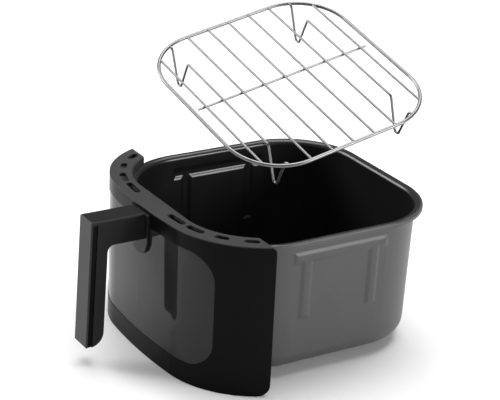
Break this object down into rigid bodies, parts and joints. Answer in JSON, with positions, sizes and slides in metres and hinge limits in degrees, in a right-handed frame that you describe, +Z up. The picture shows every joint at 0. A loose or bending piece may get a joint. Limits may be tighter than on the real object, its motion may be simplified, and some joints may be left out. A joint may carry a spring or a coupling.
{
  "type": "air fryer drawer",
  "caption": "Square frying pan with a windowed front cover, slotted vent trim and L-shaped handle, with a wire rack that lifts out.",
  "frame": {"origin": "centre of the pan's flat base, on its underside", "axes": "+Z up; the front cover and handle face -Y; X = 0 is the plane of symmetry of the drawer"},
  "size_m": [0.268, 0.3281, 0.2989],
  "materials": {
    "nonstick_pan": "satin",
    "matte_black_plastic": "matte",
    "dark_grey_plastic": "matte",
    "gloss_black_plastic": "gloss",
    "smoked_glass": "gloss",
    "clear_glass": "gloss",
    "silicone": "matte",
    "zinc_steel": "satin",
    "chrome_wire": "polished"
  },
  "bodies": {
    "drawer": {"pan": "nonstick_pan", "inner_window_gasket": "silicone", "inner_window_glass": "clear_glass", "inner_window_frame": "zinc_steel", "inner_window_studs": "zinc_steel", "inner_window_nuts": "zinc_steel", "handle_bracket": "zinc_steel", "right_side_bracket": "zinc_steel", "left_side_bracket": "zinc_steel", "side_bracket_screws": "zinc_steel", "front_cover": "matte_black_plastic", "window_gasket": "silicone", "window_glass": "smoked_glass", "window_retainer": "matte_black_plastic", "window_retainer_screws": "zinc_steel", "vent_trim": "dark_grey_plastic", "handle_base_plate": "dark_grey_plastic", "handle_body": "matte_black_plastic", "handle_accent_strip": "gloss_black_plastic", "handle_front_cap": "dark_grey_plastic", "handle_screws": "zinc_steel"},
    "rack": {"rack_ring": "chrome_wire", "rack_cross_wires": "chrome_wire", "rack_centre_wire": "chrome_wire", "rack_leg_wires": "chrome_wire"}
  },
  "joints": [
    {"name": "rack_lift", "type": "hinge", "parent": "drawer", "child": "rack", "pos_m": [0.54046, -0.31602, 0.06497], "axis": [0.5135, 0.8581, 0], "range_deg": [-19.6, 0]}
  ]
}
